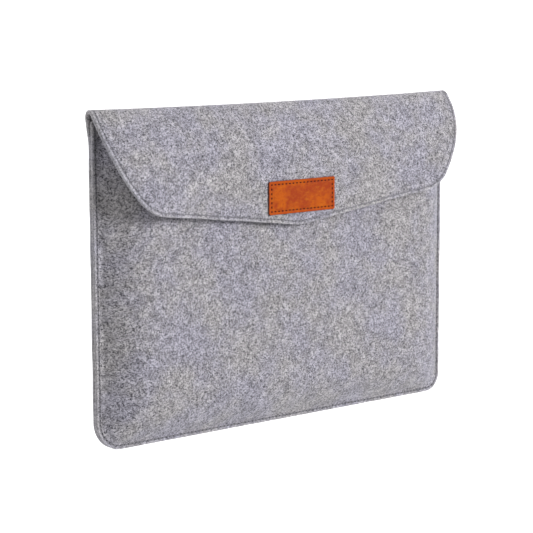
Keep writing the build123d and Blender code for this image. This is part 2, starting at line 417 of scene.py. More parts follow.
def sheet_mesh(name, line, surface, thickness, rim, rings, grid, dents, extra=()):
    """A closed sheet over a flat cut, and its points in the flat. The rings and the grid say where
    the points lie, and dents(flat, edge) gives how far the outer and the inner side are pressed in."""
    flat, faces, border = layout(line, rings, grid, extra)
    edge, _ = nearest(flat, ring(line))
    edge[border] = 0
    middle, normal = surface_frame(surface, flat)
    half = rounded_half(edge, thickness, rim)
    outer_dent, inner_dent = dents(flat, edge)
    outside = middle + normal * (half - outer_dent)[:, None]
    inside = middle - normal * (half - inner_dent)[:, None]
    count = len(flat)
    first, second, third = (outside[corner] for corner in faces[0][:3])
    if np.cross(second - first, third - first) @ normal[faces[0][0]] < 0:
        faces = [face[::-1] for face in faces]
        border = border[::-1]
    rim_faces = [
        (border[index - 1], border[index - 1] + count, border[index] + count, border[index])
        for index in range(len(border))
    ]
    below = [tuple(corner + count for corner in face[::-1]) for face in faces]
    mesh = new_mesh(name, np.vstack([outside, inside]), faces + below + rim_faces)
    place = np.column_stack([flat, half - outer_dent])
    under = np.column_stack([flat, inner_dent - half])
    set_points(mesh, "felt_place", np.vstack([place, under]))
    set_points(mesh, "edge", np.concatenate([edge, edge]))
    return mesh, flat


# --- Materials ---------------------------------------------------------------------
def linear(colour):
    """An sRGB hex colour as linear red, green, blue and alpha."""
    channels = [int(colour[place:place + 2], 16) / 255 for place in (1, 3, 5)]
    return (*[c / 12.92 if c <= 0.04045 else ((c + 0.055) / 1.055) ** 2.4 for c in channels], 1.0)


def fill(tree, node, inputs):
    """Fills a node's inputs by name or number. A socket given as a value is linked, and so is a
    node, by the first of its outputs that its settings leave in use."""
    for name, value in inputs.items():
        if isinstance(value, bpy.types.Node):
            value = next(output for output in value.outputs if output.enabled)
        if isinstance(value, bpy.types.NodeSocket):
            tree.links.new(value, node.inputs[name])
        else:
            node.inputs[name].default_value = value


def add_node(tree, kind, inputs=None, **settings):
    """Adds a node with its settings and fills its inputs."""
    made = tree.nodes.new(kind)
    for name, value in settings.items():
        setattr(made, name, value)
    fill(tree, made, inputs or {})
    return made


COLOURS = {"data_type": "RGBA"}                     # a mix of colours
SOFT_ENDS = {"interpolation_type": "SMOOTHSTEP"}    # a range that starts and ends softly


def new_material(name):
    """A material, its node tree and its Principled shader."""
    material = bpy.data.materials.new(name)
    material.use_nodes = True
    tree = material.node_tree
    shader = next(item for item in tree.nodes if item.type == "BSDF_PRINCIPLED")
    return material, tree, shader


def laid_over(tree, body, layers):
    """The body colour with more colours laid over it; each layer is its share and its colour."""
    for share, colour in layers:
        body = add_node(tree, "ShaderNodeMix", {"Factor": share, 6: body, 7: linear(colour)}, **COLOURS)
    return body


def drawn_out(tree, place, stretch, angle):
    """Places that make a pattern longer in one direction, turned by that many degrees."""
    turned = add_node(tree, "ShaderNodeMapping", {"Vector": place, "Rotation": (0, 0, math.radians(angle))})
    return add_node(tree, "ShaderNodeMapping", {"Vector": turned, "Scale": (1 / stretch, 1, 1)})


def mottling(tree, place, size, detail, roughness, low, high, least=0.0, most=1.0):
    """Soft patches about that many millimetres across, from least to most of a finish."""
    pattern = add_node(tree, "ShaderNodeTexNoise",
                       {"Vector": place, "Scale": 1 / size, "Detail": detail, "Roughness": roughness})
    return add_node(
        tree, "ShaderNodeMapRange",
        {"Value": pattern, "From Min": low, "From Max": high, "To Min": least, "To Max": most}, **SOFT_ENDS,
    )


def object_place(tree):
    """Object coordinates in millimetres."""
    place = add_node(tree, "ShaderNodeTexCoord").outputs["Object"]
    return add_node(tree, "ShaderNodeMapping", {"Vector": place, "Scale": (MM_PER_M,) * 3})


STITCH_PITCH = 3.5
NEEDLE_HOLE = 0.55          # half the width of a needle hole, whose shadow is painted on the felt
HOLE_PULL = 1.6             # it is pulled this much longer than wide
TUFT = 0.88                 # width of a tuft of fibres
TUFT_STRETCH = 2.4          # it is this much longer than wide


def wool_felt():
    """Pressed melange wool felt: light and charcoal fibres in every direction, matted together.
    Fibres are far finer than can show, so they are drawn as tufts about a millimetre long."""
    material, tree, shader = new_material("melange_wool_felt_pressed")
    place = add_node(tree, "ShaderNodeAttribute", attribute_name="felt_place").outputs["Vector"]
    edge = add_node(tree, "ShaderNodeAttribute", attribute_name="edge").outputs["Fac"]
    sewing_and_painted_shade = add_node(tree, "ShaderNodeAttribute", attribute_name="sewing_and_painted_shade").outputs["Vector"]

    tufts = [
        add_node(tree, "ShaderNodeTexNoise", {"Vector": drawn_out(tree, place, TUFT_STRETCH, angle),
                                              "Scale": 1 / TUFT, "Detail": 2.0, "Roughness": 0.64})
        for angle in (22, 81, 144)
    ]
    lightest = darkest = tufts[0]
    for tuft in tufts[1:]:
        lightest = add_node(tree, "ShaderNodeMath", {0: lightest, 1: tuft}, operation="MAXIMUM")
        darkest = add_node(tree, "ShaderNodeMath", {0: darkest, 1: tuft}, operation="MINIMUM")
    light = add_node(tree, "ShaderNodeMapRange",
                     {"Value": lightest, "From Min": 0.56, "From Max": 0.69, "To Max": 0.8}, **SOFT_ENDS)
    dark = add_node(tree, "ShaderNodeMapRange",
                    {"Value": darkest, "From Min": 0.43, "From Max": 0.29, "To Max": 0.97}, **SOFT_ENDS)
    fine = add_node(tree, "ShaderNodeTexNoise",
                    {"Vector": place, "Scale": 1.0, "Detail": 3.0, "Roughness": 0.7})
    grain = add_node(tree, "ShaderNodeMapRange",
                     {"Value": fine, "From Min": 0.32, "From Max": 0.68}, **SOFT_ENDS)
    body = laid_over(tree, linear("#68676B"), ((grain, "#B6B5B8"), (light, "#CBCACC"), (dark, "#1C1C21")))

    # Dye and pressing are uneven: large warm and cool clouds, and small lighter and darker spots.
    cloud = mottling(tree, place, 45.0, 3.0, 0.6, 0.36, 0.64)
    tint = laid_over(tree, linear("#F4F1F0"), ((cloud, "#EDEBF8"),))
    spots = mottling(tree, place, 7.0, 4.0, 0.78, 0.34, 0.66, 0.78, 1.18)
    for shade in (tint, spots):
        body = add_node(tree, "ShaderNodeMix", {"Factor": 1.0, 6: body, 7: shade}, blend_type="MULTIPLY",
                        **COLOURS)

    # At a point of the felt, sewing's X counts stitches along the nearest row, with a hole at each
    # whole number, Y is how many millimetres off the row it is, and Z is how dark the shade painted in the
    # furrow is.
    sewn = add_node(tree, "ShaderNodeSeparateXYZ", {"Vector": sewing_and_painted_shade})
    to_hole = add_node(tree, "ShaderNodeMath", {0: sewn.outputs["X"], 1: 0.5}, operation="PINGPONG")
    off_hole = add_node(tree, "ShaderNodeCombineXYZ", {"X": to_hole, "Y": sewn.outputs["Y"]})
    in_radii = (STITCH_PITCH / (NEEDLE_HOLE * HOLE_PULL), 1 / NEEDLE_HOLE, 0)
    away = add_node(tree, "ShaderNodeVectorMath", {0: off_hole, 1: in_radii}, operation="MULTIPLY")
    away = add_node(tree, "ShaderNodeVectorMath", {0: away, 1: away}, operation="DOT_PRODUCT")
    marks = [
        add_node(tree, "ShaderNodeMapRange",
                 {"Value": distance, "From Min": outer, "From Max": inner, "To Max": most}, **SOFT_ENDS)
        for distance, outer, inner, most in (
            # Painted highlight: the felt is lighter within 2 mm of its cut edge.
            (edge, 2.0, 0.8, 0.14),
            # Painted shade in the stitch furrow, as dark as the sewing attribute's Z says.
            (sewn.outputs["Y"], 0.9, 0.2, sewn.outputs["Z"]),
            # Painted shadow in each needle hole.
            (away.outputs["Value"], 1.6, 0.2, 0.8),
        )
    ]
    painted_edge_highlight, furrow, painted_hole_shadow = marks
    body = laid_over(tree, body, ((painted_edge_highlight, "#CECDCF"), (furrow, "#3A393E"), (painted_hole_shadow, "#2B2A2E")))

    matting = add_node(tree, "ShaderNodeMath", {0: lightest, 1: darkest}, operation="SUBTRACT")
    height = add_node(tree, "ShaderNodeMath", {0: fine, 1: 0.5, 2: matting}, operation="MULTIPLY_ADD")
    height = add_node(tree, "ShaderNodeMath", {0: painted_hole_shadow, 1: -2.0, 2: height}, operation="MULTIPLY_ADD")
    bump = add_node(tree, "ShaderNodeBump", {"Height": height, "Strength": 0.5, "Distance": 0.35 * MM})
    fill(tree, shader, {
        "Base Color": body, "Normal": bump, "Roughness": 0.95, "Specular IOR Level": 0.12,
        "Sheen Weight": 0.25, "Sheen Roughness": 0.6, "Sheen Tint": linear("#E9E8EE"),
    })
    return material


def tanned_leather():
    """Vegetable-tanned cowhide, waxed and pulled up: warm tan with cloudy mottling, fine pores
    and creases, redder and more even where the edges are rubbed, with shadow painted in the needle holes."""
    material, tree, shader = new_material("vegetable_tanned_leather_waxed")
    place = object_place(tree)
    edge = add_node(tree, "ShaderNodeAttribute", attribute_name="edge").outputs["Fac"]
    painted_hole_shadow = add_node(tree, "ShaderNodeAttribute", attribute_name="painted_hole_shadow").outputs["Fac"]
    cloud = mottling(tree, place, 11.0, 4.0, 0.65, 0.36, 0.64)
    streak = mottling(tree, drawn_out(tree, place, 4.0, 24), 2.6, 4.0, 0.7, 0.5, 0.72, 0.0, 0.55)
    stain = mottling(tree, drawn_out(tree, place, 2.5, -30), 2.2, 4.0, 0.75, 0.53, 0.7, 0.0, 0.6)
    rubbed = add_node(tree, "ShaderNodeMapRange",
                      {"Value": edge, "From Min": 3.0, "From Max": 0.6, "To Max": 0.5}, **SOFT_ENDS)
    body = laid_over(tree, linear("#933508"), (
        # The last layer is shadow painted in the needle holes.
        (cloud, "#AE5008"), (streak, "#B8640F"), (stain, "#7C2C06"), (rubbed, "#A54308"), (painted_hole_shadow, "#240804"),
    ))
    pores = add_node(tree, "ShaderNodeTexVoronoi", {"Vector": place, "Scale": 1 / 0.8},
                     feature="DISTANCE_TO_EDGE")
    crease = add_node(tree, "ShaderNodeMapRange",
                      {"Value": pores.outputs["Distance"], "From Max": 0.22, "To Max": 0.5}, **SOFT_ENDS)
    grain = add_node(tree, "ShaderNodeTexNoise",
                     {"Vector": place, "Scale": 1 / 2.4, "Detail": 4.0, "Roughness": 0.6})
    height = add_node(tree, "ShaderNodeMath", {0: crease, 1: grain}, operation="ADD")
    bump = add_node(tree, "ShaderNodeBump", {"Height": height, "Strength": 0.35, "Distance": 0.16 * MM})
    waxed = add_node(tree, "ShaderNodeMapRange", {"Value": cloud, "To Min": 0.5, "To Max": 0.66}, **SOFT_ENDS)
    fill(tree, shader, {
        "Base Color": body, "Normal": bump, "Roughness": waxed, "IOR": 1.5, "Specular IOR Level": 0.08,
    })
    return material


def leather_cut_edge():
    """The same hide's cut edge, dyed and rubbed with wax: dark burgundy brown."""
    material, tree, shader = new_material("leather_cut_edge_burnished")
    fibres = mottling(tree, object_place(tree), 0.5, 3.0, 0.6, 0.3, 0.7)
    body = laid_over(tree, linear("#4E1712"), ((fibres, "#6E2A1A"),))
    fill(tree, shader, {"Base Color": body, "Roughness": 0.55, "IOR": 1.5})
    return material


def sewing_thread(name, shade, light):
    """Twisted polyester thread: the plies show as slanting lighter bands, drawn a little coarse; the lighter
    colour is a highlight painted on each raised ply.
    """
    material, tree, shader = new_material(name)
    ply = add_node(tree, "ShaderNodeTexNoise", {"Vector": drawn_out(tree, object_place(tree), 2.5, 40),
                                                "Scale": 1 / 0.28, "Detail": 2.0, "Roughness": 0.6})
    # Painted highlight: the thread is lighter where a ply rises.
    painted_ply_highlight = add_node(tree, "ShaderNodeMapRange",
                     {"Value": ply, "From Min": 0.35, "From Max": 0.65}, **SOFT_ENDS)
    body = laid_over(tree, linear(shade), ((painted_ply_highlight, light),))
    bump = add_node(tree, "ShaderNodeBump", {"Height": ply, "Strength": 0.5, "Distance": 0.1 * MM})
    fill(tree, shader, {"Base Color": body, "Normal": bump, "Roughness": 0.75, "Specular IOR Level": 0.12})
    return material


def woven_nylon(name, shade, light):
    """Woven nylon tape: a fine plain weave, drawn at 0.9 mm so that it shows, with a highlight painted where
    the yarns rise.
    """
    material, tree, shader = new_material(name)
    place = add_node(tree, "ShaderNodeSeparateXYZ", {"Vector": object_place(tree)})
    yarns = []
    for axis in "XZ":
        turn = add_node(tree, "ShaderNodeMath", {0: place.outputs[axis], 1: 2 * math.pi / 0.9},
                        operation="MULTIPLY")
        yarns.append(add_node(tree, "ShaderNodeMath", {0: turn}, operation="SINE"))
    weave = add_node(tree, "ShaderNodeMath", {0: yarns[0], 1: yarns[1]}, operation="MULTIPLY")
    # Painted highlight: the tape is lighter where the weave rises.
    painted_yarn_highlight = add_node(tree, "ShaderNodeMapRange",
                      {"Value": weave, "From Min": -0.8, "From Max": 0.8}, **SOFT_ENDS)
    body = laid_over(tree, linear(shade), ((painted_yarn_highlight, light),))
    bump = add_node(tree, "ShaderNodeBump", {"Height": weave, "Strength": 0.6, "Distance": 0.12 * MM})
    fill(tree, shader, {"Base Color": body, "Normal": bump, "Roughness": 0.62, "Sheen Weight": 0.15})
    return material


FELT_FINISH = wool_felt()
LEATHER = tanned_leather()
LEATHER_EDGE = leather_cut_edge()
FELT_THREAD = sewing_thread("polyester_thread_grey_twisted", "#6F6E74", "#96959B")
PATCH_THREAD = sewing_thread("polyester_thread_dark_brown_waxed", "#240605", "#45130B")
HOOK_NYLON = woven_nylon("nylon_hook_tape_woven", "#55555A", "#6C6C71")
LOOP_NYLON = woven_nylon("nylon_loop_tape_brushed", "#5D5D62", "#77777C")


# --- Geometry Nodes: stitches along a row, pile on a tape --------------------------
def new_tree(name, inputs):
    """A node tree with named inputs; returns the tree and its input sockets by name."""
    tree = bpy.data.node_groups.new(name, "GeometryNodeTree")
    tree.interface.new_socket("Geometry", in_out="INPUT", socket_type="NodeSocketGeometry")
    for label, kind in inputs.items():
        tree.interface.new_socket(label, in_out="INPUT", socket_type=f"NodeSocket{kind}")
    tree.interface.new_socket("Geometry", in_out="OUTPUT", socket_type="NodeSocketGeometry")
    return tree, tree.nodes.new("NodeGroupInput").outputs


def bent_thread(tree, width, sides, resolution, shape):
    """A length of thread with closed ends, bent as shape says where it starts and ends."""
    line = add_node(tree, "GeometryNodeCurvePrimitiveBezierSegment", {"Resolution": resolution, **shape})
    half = add_node(tree, "ShaderNodeMath", {0: width, 1: 2.0}, operation="DIVIDE")
    section = add_node(tree, "GeometryNodeCurvePrimitiveCircle", {"Resolution": sides, "Radius": half})
    return add_node(tree, "GeometryNodeCurveToMesh",
                    {"Curve": line, "Profile Curve": section, "Fill Caps": True})


LEAN = 0.05                 # each stitch is turned by up to this many radians, at random


def stitch_tree():
    """Lays one arched length of thread on each stitch of a row, square to the surface."""
    tree, given = new_tree(
        "stitches_along_a_row",
        {"Stitches": "Int", "Length": "Float", "Thread": "Float", "Arch": "Float", "Sink": "Float",
         "Seed": "Int", "Finish": "Material"},
    )
    # The row is divided at every needle hole and at the middle between two holes.
    count = add_node(tree, "ShaderNodeMath", {0: given["Stitches"], 1: 2.0, 2: 1.0}, operation="MULTIPLY_ADD")
    row = add_node(tree, "GeometryNodeMeshToCurve", {"Mesh": given["Geometry"]})
    row = add_node(tree, "GeometryNodeResampleCurve", {"Curve": row, "Count": count})
    middle = add_node(tree, "ShaderNodeMath", {0: add_node(tree, "GeometryNodeInputIndex"), 1: 2.0},
                      operation="MODULO")
    outward = add_node(tree, "GeometryNodeInputNamedAttribute", {"Name": "outward"}, data_type="FLOAT_VECTOR")
    tangent = add_node(tree, "GeometryNodeInputTangent")
    facing = add_node(tree, "FunctionNodeAlignRotationToVector", {"Vector": outward}, axis="Z")
    facing = add_node(tree, "FunctionNodeAlignRotationToVector", {"Rotation": facing, "Vector": tangent},
                      axis="X", pivot_axis="Z")

    depth = add_node(tree, "ShaderNodeMath", {0: given["Sink"], 1: -1.0}, operation="MULTIPLY")
    shape = {}
    for name, share, height in (("Start", -0.5, depth), ("Start Handle", -0.35, given["Arch"]),
                                ("End Handle", 0.35, given["Arch"]), ("End", 0.5, depth)):
        along = add_node(tree, "ShaderNodeMath", {0: given["Length"], 1: share}, operation="MULTIPLY")
        shape[name] = add_node(tree, "ShaderNodeCombineXYZ", {"X": along, "Z": height})
    thread = bent_thread(tree, given["Thread"], 6, 7, shape)
    lean = add_node(tree, "FunctionNodeRandomValue",
                    {"Min": (-LEAN,) * 3, "Max": (LEAN,) * 3, "Seed": given["Seed"]},
                    data_type="FLOAT_VECTOR")
    turned = add_node(tree, "FunctionNodeRotateRotation", {0: facing, 1: lean})
    laid = add_node(tree, "GeometryNodeInstanceOnPoints",
                    {"Points": row, "Selection": middle, "Instance": thread, "Rotation": turned})
    plain = add_node(tree, "GeometryNodeRealizeInstances", {"Geometry": laid})
    smooth = add_node(tree, "GeometryNodeSetShadeSmooth", {"Geometry": plain})
    finished = add_node(tree, "GeometryNodeSetMaterial", {"Geometry": smooth, "Material": given["Finish"]})
    add_node(tree, "NodeGroupOutput", {0: finished})
    return tree


def pile_tree():
    """Stands one bent strand on each crossing of a grid, over a tape's base."""
    tree, given = new_tree(
        "pile_on_a_tape",
        {"Place": "Vector", "Facing": "Vector", "Width": "Float", "Height": "Float", "Across": "Int",
         "Up": "Int", "Strand": "Float", "Rise": "Float", "Bend": "Float", "Tip": "Float", "Turn": "Float",
         "Scatter": "Float", "Seed": "Int", "Finish": "Material"},
    )
    grid = add_node(tree, "GeometryNodeMeshGrid",
                    {"Size X": given["Width"], "Size Y": given["Height"], "Vertices X": given["Across"],
                     "Vertices Y": given["Up"]})
    far = add_node(tree, "ShaderNodeMath", {0: given["Scatter"], 1: -1.0}, operation="MULTIPLY")
    least = add_node(tree, "ShaderNodeCombineXYZ", {"X": far, "Y": far})
    most = add_node(tree, "ShaderNodeCombineXYZ", {"X": given["Scatter"], "Y": given["Scatter"]})
    shift = add_node(tree, "FunctionNodeRandomValue", {"Min": least, "Max": most, "Seed": given["Seed"]},
                     data_type="FLOAT_VECTOR")
    spots = add_node(tree, "GeometryNodeSetPosition", {"Geometry": grid, "Offset": shift})

    top = add_node(tree, "ShaderNodeMath", {0: given["Rise"], 1: 1.3}, operation="MULTIPLY")
    strand = bent_thread(tree, given["Strand"], 4, 6, {
        "Start": (0, 0, 0),
        "Start Handle": add_node(tree, "ShaderNodeCombineXYZ", {"Z": top}),
        "End Handle": add_node(tree, "ShaderNodeCombineXYZ", {"X": given["Bend"], "Z": top}),
        "End": add_node(tree, "ShaderNodeCombineXYZ", {"X": given["Bend"], "Z": given["Tip"]}),
    })
    back = add_node(tree, "ShaderNodeMath", {0: given["Turn"], 1: -1.0}, operation="MULTIPLY")
    other_seed = add_node(tree, "ShaderNodeMath", {0: given["Seed"], 1: 1.0}, operation="ADD")
    around = add_node(tree, "FunctionNodeRandomValue",
                      {"Min": add_node(tree, "ShaderNodeCombineXYZ", {"Z": back}),
                       "Max": add_node(tree, "ShaderNodeCombineXYZ", {"Z": given["Turn"]}),
                       "Seed": other_seed}, data_type="FLOAT_VECTOR")
    stood = add_node(tree, "GeometryNodeInstanceOnPoints",
                     {"Points": spots, "Instance": strand, "Rotation": around})
    plain = add_node(tree, "GeometryNodeRealizeInstances", {"Geometry": stood})
    smooth = add_node(tree, "GeometryNodeSetShadeSmooth", {"Geometry": plain})
    turned = add_node(tree, "GeometryNodeTransform",
                      {"Geometry": smooth, "Translation": given["Place"], "Rotation": given["Facing"]})
    both = add_node(tree, "GeometryNodeJoinGeometry", {0: turned})
    fill(tree, both, {0: given["Geometry"]})
    finished = add_node(tree, "GeometryNodeSetMaterial", {"Geometry": both, "Material": given["Finish"]})
    add_node(tree, "NodeGroupOutput", {0: finished})
    return tree


STITCHES = stitch_tree()
PILE = pile_tree()


def grown(mesh, tree, **values):
    """The mesh that a tree makes from the given one, with the tree's inputs set by name."""
    carrier = new_piece("carrier", mesh)
    modifier = carrier.modifiers.new("nodes", "NODES")
    modifier.node_group = tree
    for item in tree.interface.items_tree:
        if item.in_out == "INPUT" and item.name in values:
            modifier[item.identifier] = values[item.name]
    shown = carrier.evaluated_get(bpy.context.evaluated_depsgraph_get())
    made = bpy.data.meshes.new_from_object(shown)
    bpy.data.objects.remove(carrier)
    return made


def joined(name, meshes):
    """One mesh from several that share their materials."""
    made = bpy.data.meshes.new(name)
    parts = bmesh.new()
    for mesh in meshes:
        parts.from_mesh(mesh)
    parts.to_mesh(made)
    parts.free()
    for material in meshes[0].materials:
        made.materials.append(material)
    return made


def sewn_rows(name, rows, finish, thread=0.65, share=0.75, arch=0.3, sink=0.35):
    """A piece of separate stitches; each row is its points, their outward directions and a count."""
    meshes = []
    for number, (points, outward, stitches) in enumerate(rows):
        row = bpy.data.meshes.new("row")
        edges = [(index, index + 1) for index in range(len(points) - 1)]
        row.from_pydata((points * MM).tolist(), edges, [])
        set_points(row, "outward", outward)
        length = lengths(points)[-1] / stitches * share
        meshes.append(grown(row, STITCHES, Stitches=stitches, Length=length * MM, Thread=thread * MM,
                            Arch=arch * MM, Sink=sink * MM, Seed=11 + number, Finish=finish))
    return new_piece(name, joined(name, meshes))


# --- Main felt: back, fold and flap in one piece -----------------------------------
WOBBLES = (8, 60, 9)        # fewest and most waves round a cut, and how many sorts are added up


def wobbled(line, most, seed):
    """The cut line with the small unevenness of a hand-held cutter, never below its lowest point."""
    along = lengths(ring(line))
    draw = np.random.default_rng(seed)
    shift = np.zeros(len(line))
    for waves in draw.integers(*WOBBLES):
        shift += np.sin(2 * math.pi * (waves * along[:-1] / along[-1] + draw.uniform())) / 3
    moved = line + inward(line) * (most * shift)[:, None]
    moved[:, 1] = np.maximum(moved[:, 1], line[:, 1].min())
    return moved


BOTTOM = [(-POCKET_HALF, 0.0, CORNER_RADIUS), (POCKET_HALF, 0.0, RIGHT_CORNER)]
widens, is_wide, rounding = WIDENING
flap_side = [
    (FLAP_HALF, is_wide, rounding),
    (SIDE_BEND[0], along_flap(SIDE_BEND[1]), SIDE_BEND[2]),
    (FLAP_CORNER[0], along_flap(FLAP_CORNER[1]), FLAP_CORNER[2]),
]
main_cut = cut_line(
    [*BOTTOM, (POCKET_HALF, widens, rounding),
     *[(half - RIGHT_TRIM, along, radius) for half, along, radius in flap_side],
     (0.0, along_flap(FLAP_TIP[0]), FLAP_TIP[1]),
     *[(-half, along, radius) for half, along, radius in reversed(flap_side)],
     (-POCKET_HALF, widens, rounding)],
    EDGE_STEP,
)
# The line starts at the left bottom corner; it is turned to start at the middle of the bottom.
main_cut = np.roll(main_cut, -int(np.argmin(np.hypot(main_cut[:, 0], main_cut[:, 1]))), axis=0)
main_cut = wobbled(main_cut, CUT_WOBBLE, 21)

SINGLE_RUN = 15.0           # over this far past the top of the back, two layers become one


def seam_dents(flat, edge):
    """The main felt is drawn in by its stitches outside, and on the flap inside too."""
    single = ease((flat[:, 1] - BACK_TOP) / SINGLE_RUN)
    groove = hump(edge - ROW_FROM_EDGE, GROOVE_WIDTH) * (GROOVE + (FLAP_GROOVE - GROOVE) * single)
    return groove, groove * single


SEAM_SHADE = 0.5            # darkness of the shade painted in the furrow where two layers are drawn together
FLAP_SHADE = 0.24
MOUTH_SHADE = 0.95          # painted shade for the crease that the front felt makes where it dives behind the seam
MOUTH_CREASE = (165.0, 40.0)    # the height where that painted crease shade begins, and how gently


def stitch_count(row):
    """How many stitches of the usual length a row takes."""
    return round(lengths(row)[-1] / STITCH_PITCH)


def store_sewing_and_painted_shade(mesh, flat, row, far_shade, start, run):
    """Stores, for each point of both sides, its stitch number along the row, its distance off it,
    and how dark the shade painted in its furrow is, which changes to far_shade over a run along the cut."""
    distance, number = nearest(flat, row, lengths(row) / lengths(row)[-1] * stitch_count(row))
    shade = SEAM_SHADE + (far_shade - SEAM_SHADE) * ease((flat[:, 1] - start) / run)
    marks = np.column_stack([number, distance, shade])
    set_points(mesh, "sewing_and_painted_shade", np.vstack([marks, marks]))


main_mesh, main_flat = sheet_mesh(
    "felt_back_and_flap", main_cut, main_surface, FELT, RIM, RINGS, FELT_GRID, seam_dents
)
main_row = ring(main_cut + inward(main_cut) * ROW_FROM_EDGE)
store_sewing_and_painted_shade(main_mesh, main_flat, main_row, FLAP_SHADE, BACK_TOP, SINGLE_RUN)
felt_main = new_piece("felt_back_and_flap", main_mesh, FELT_FINISH)

# --- Front felt --------------------------------------------------------------------
PAST_MOUTH = 400.0          # the seam's line is laid out to here and then ended at the mouth
mouth = [
    (POCKET_HALF * share, MOUTH_SIDE - MOUTH_DIP * (1 - share**2), MOUTH_ROUNDING)
    for share in (0.5, -0.5)
]
front_cut = cut_line(
    [*BOTTOM, (POCKET_HALF, MOUTH_SIDE, MOUTH_END), *mouth, (-POCKET_HALF, MOUTH_SIDE, MOUTH_END)], EDGE_STEP
)
front_cut = wobbled(front_cut, CUT_WOBBLE, 22)
seam_line = cut_line([*BOTTOM, (POCKET_HALF, PAST_MOUTH, 1.0), (-POCKET_HALF, PAST_MOUTH, 1.0)], EDGE_STEP)
seam_line = seam_line[seam_line[:, 1] < MOUTH_SIDE]
# Its longest gap is now the mouth, and the line is turned to start there.
first = int(np.argmax(np.linalg.norm(np.diff(seam_line, axis=0), axis=1))) + 1
seam_line = np.roll(seam_line, -first, axis=0)
seam_row = seam_line + inward(seam_line, is_ring=False) * ROW_FROM_EDGE

DEEPER = 0.9                # the groove is this much deeper near the mouth
DEEPER_RISE = (188.0, 40.0)     # the height where it begins to deepen, and how gently


def front_dents(flat, edge):
    """The front felt is drawn in along its seam, but not along its mouth."""
    off_row, _ = nearest(flat, seam_row)
    start, run = DEEPER_RISE
    deeper = 1 + DEEPER * ease((flat[:, 1] - start) / run)
    return GROOVE * deeper * hump(off_row, GROOVE_WIDTH), np.zeros(len(flat))


front_mesh, front_flat = sheet_mesh(
    "felt_front", front_cut, front_surface, FELT, RIM, RINGS, FELT_GRID, front_dents
)
store_sewing_and_painted_shade(front_mesh, front_flat, seam_row, MOUTH_SHADE, *MOUTH_CREASE)
felt_front = new_piece("felt_front", front_mesh, FELT_FINISH)


# --- Stitches of the seam and the flap ---------------------------------------------
THREAD_BED = 0.1            # thread on the felt lies this far above its groove, and on leather this far in


def row_on(surface, row, side):
    """A row's points in its groove, on the outer side (1) or the inner side (-1)."""
    middle, normal = surface_frame(surface, row)
    groove = np.where(row[:, 1] > BACK_TOP, FLAP_GROOVE, GROOVE)
    return middle + normal * (side * (FELT / 2 - groove + THREAD_BED))[:, None], normal * side


def felt_stitches(name, surface, row, side=1):
    """The stitches of one row on the felt."""
    return sewn_rows(name, [(*row_on(surface, row, side), stitch_count(row))], FELT_THREAD)


on_flap = np.flatnonzero(main_row[:, 1] > BACK_TOP)
flap_start, flap_end = int(on_flap[0]), int(on_flap[-1])
pocket_row = np.vstack([main_row[flap_end + 1:], main_row[1:flap_start]])
flap_row = main_row[flap_start:flap_end + 1]
seam_front = felt_stitches("seam_stitches_front", front_surface, seam_row)
seam_back = felt_stitches("seam_stitches_back", main_surface, pocket_row)
flap_outside = felt_stitches("flap_stitches_outside", main_surface, flap_row)
flap_inside = felt_stitches("flap_stitches_inside", main_surface, flap_row, -1)


# --- Leather patch -----------------------------------------------------------------
PATCH_ROUNDING = 1.2
PATCH_WOBBLE = 0.06
PATCH_ROW = 2.6             # needle holes, in from the patch's edge
PATCH_FURROW = (0.14, 0.8)  # depth and width of the furrow along them
PATCH_STITCHES = (17, 6)    # along the width and up each side
PATCH_RIM = 0.4
PATCH_RINGS = (0.12, 0.4, 0.9, 1.5, 2.1, 2.6, 3.1, 3.8)
PATCH_CURL = 0.12           # lift of its four corners
HOLE_RADIUS = 0.55
HOLE_FLOOR = 0.15           # radius of a hole's flat bottom
HOLE_DEPTH = 0.75
HOLE_RINGS = (0.25, 0.48, 0.8)  # radii of extra points round each hole
HOLE_SHADE = 1.15           # darkness of the shadow painted at a hole's middle, where 1 is full
EDGE_FACES = 0.2            # faces within this distance of the edge are the cut edge
PATCH_MIDDLE = (patch_low[2] + patch_high[2]) / 2
patch_thickness = patch_high[1] - patch_low[1]


def rectangle(half_width, low, high, radius=0.0):
    """Corners of an upright rectangle that is centred on the sleeve's width."""
    sides = ((-half_width, low), (half_width, low), (half_width, high), (-half_width, high))
    return [(across, height, radius) for across, height in sides]


def ring_rows(half_width, low, high, across, upright):
    """Four rows of needle holes, one along each side of a rectangle."""
    corners = ring(np.array(rectangle(half_width, low, high))[:, :2])
    return [
        corners[index] + (corners[index + 1] - corners[index]) * np.linspace(0, 1, count + 1)[:, None]
        for index, count in enumerate((across, upright, across, upright))
    ]


def centred_rows(rows):
    """Rows moved by half a stitch, so that each stitch has a hole at its middle. The corner holes
    go with the two long rows."""
    moved = []
    for index, row in enumerate(rows):
        half = (row[1] - row[0]) / 2
        moved.append(np.vstack([row - half, row[-1] + half]) if index % 2 == 0 else (row + half)[:-1])
    return moved


patch_rows = ring_rows(
    patch_high[0] - PATCH_ROW, patch_low[2] + PATCH_ROW, patch_high[2] - PATCH_ROW, *PATCH_STITCHES
)
patch_holes = np.vstack([row[:-1] for row in patch_rows])


def upright_plane(depth):
    """A flat sheet facing forward, with its middle at that depth."""
    return lambda flat: np.stack([flat[:, 0], np.full(len(flat), SEAM_Y - depth), flat[:, 1]], axis=1)


def patch_surface(flat):
    """The leather lies flat, except that its four corners lift very slightly."""
    aside = np.abs(flat[:, 0]) / patch_high[0]
    above = np.abs(flat[:, 1] - PATCH_MIDDLE) / (patch_high[2] - PATCH_MIDDLE)
    surface = upright_plane(FLAP_FRONT + patch_thickness / 2)(flat)
    surface[:, 1] -= PATCH_CURL * (np.clip(aside, 0, 1) * np.clip(above, 0, 1)) ** 6
    return surface


def from_hole(flat):
    """Distance from each point of the patch to the nearest needle hole."""
    return np.array([np.linalg.norm(patch_holes - point, axis=1).min() for point in flat])


